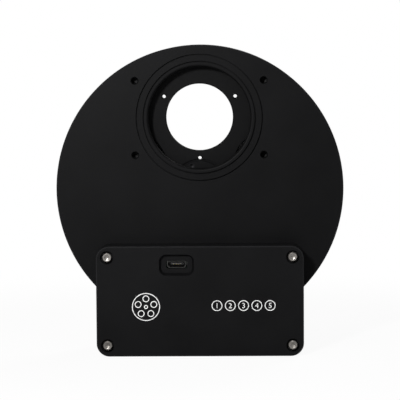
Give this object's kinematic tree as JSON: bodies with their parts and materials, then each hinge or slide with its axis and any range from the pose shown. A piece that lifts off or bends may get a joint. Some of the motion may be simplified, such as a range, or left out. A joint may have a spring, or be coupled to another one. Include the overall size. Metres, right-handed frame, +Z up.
{
  "type": "optical filter wheel",
  "caption": "Motorised optical filter wheel: round black drum with threaded ports on both faces, a geared carousel of filter seats inside and an electronics box with a USB socket at its foot.",
  "frame": {"origin": "on the optical axis, in the front mounting face of the drum", "axes": "+Y along the optical axis to the back, +Z up, +X to the right as the front is looked at; the flat foot of the box faces -Z"},
  "size_m": [0.116, 0.0325, 0.1243],
  "materials": {
    "black_anodised": "fine bead-blasted black anodised aluminium, satin",
    "carousel_anodised": "matt black anodised aluminium with turned seats",
    "port_anodised": "turned black anodised aluminium, satin",
    "stainless_screws": "turned stainless steel",
    "black_oxide_steel": "black oxide steel, semi-gloss",
    "bearing_steel": "ground bearing steel",
    "pinion_brass": "machined brass",
    "plated_steel": "zinc-plated pressed steel",
    "nickel_shell": "nickel-plated pressed sheet",
    "gold_contacts": "gold-plated contacts",
    "board_green": "solder-masked glass-fibre board",
    "black_plastic": "moulded black plastic",
    "white_plastic": "moulded off-white nylon",
    "blue_plastic": "moulded blue plastic",
    "capacitor_can": "bare drawn aluminium can",
    "wire_sleeve": "soft PVC wire insulation",
    "magnet_nickel": "nickel-plated magnet"
  },
  "bodies": {
    "housing": {"housing": "black_anodised", "rear_cover": "black_anodised", "electronics_lid": "black_anodised", "front_port_ring": "port_anodised", "front_thread_insert": "port_anodised", "rear_port_ring": "port_anodised", "rear_thread_insert": "port_anodised", "lid_screws": "stainless_screws", "cover_screws": "stainless_screws", "axle": "bearing_steel", "axle_washer": "stainless_screws", "axle_screw": "stainless_screws", "bearing_inner_race": "bearing_steel", "motor_bushing": "pinion_brass", "motor_mounting_plate": "plated_steel", "motor_can": "plated_steel", "motor_terminal_cover": "blue_plastic", "motor_screws": "stainless_screws", "motor_cable": "wire_sleeve", "motor_header": "white_plastic", "controller_board": "board_green", "board_standoffs": "pinion_brass", "board_screws": "stainless_screws", "board_chips": "black_plastic", "board_capacitors": "capacitor_can", "usb_shell": "nickel_shell", "usb_insulator": "black_plastic", "usb_contacts": "gold_contacts", "hall_sensor": "black_plastic", "hall_leads": "plated_steel"},
    "carousel": {"carousel": "carousel_anodised", "hub_cap": "carousel_anodised", "hub_cap_screws": "black_oxide_steel", "bearing_outer_race": "bearing_steel", "index_magnets": "magnet_nickel"},
    "ball_set": {"bearing_balls": "bearing_steel", "bearing_cage": "pinion_brass"},
    "pinion": {"pinion": "pinion_brass", "pinion_set_screw": "black_oxide_steel", "motor_shaft": "bearing_steel"}
  },
  "joints": [
    {"name": "carousel_spin", "type": "hinge", "parent": "housing", "child": "carousel", "pos_m": [0, 0.01, -0.0287], "axis": [0, 1, 0], "continuous": true},
    {"name": "ball_set_spin", "type": "hinge", "parent": "housing", "child": "ball_set", "pos_m": [0, 0.01, -0.0287], "axis": [0, 1, 0], "continuous": true},
    {"name": "pinion_spin", "type": "hinge", "parent": "housing", "child": "pinion", "pos_m": [0.02, 0.01, -0.08272], "axis": [0, 1, 0], "continuous": true}
  ],
  "couplings": [
    {"joint": "pinion_spin", "follows": "carousel_spin", "ratio": -7},
    {"joint": "ball_set_spin", "follows": "carousel_spin", "ratio": 0.6}
  ]
}
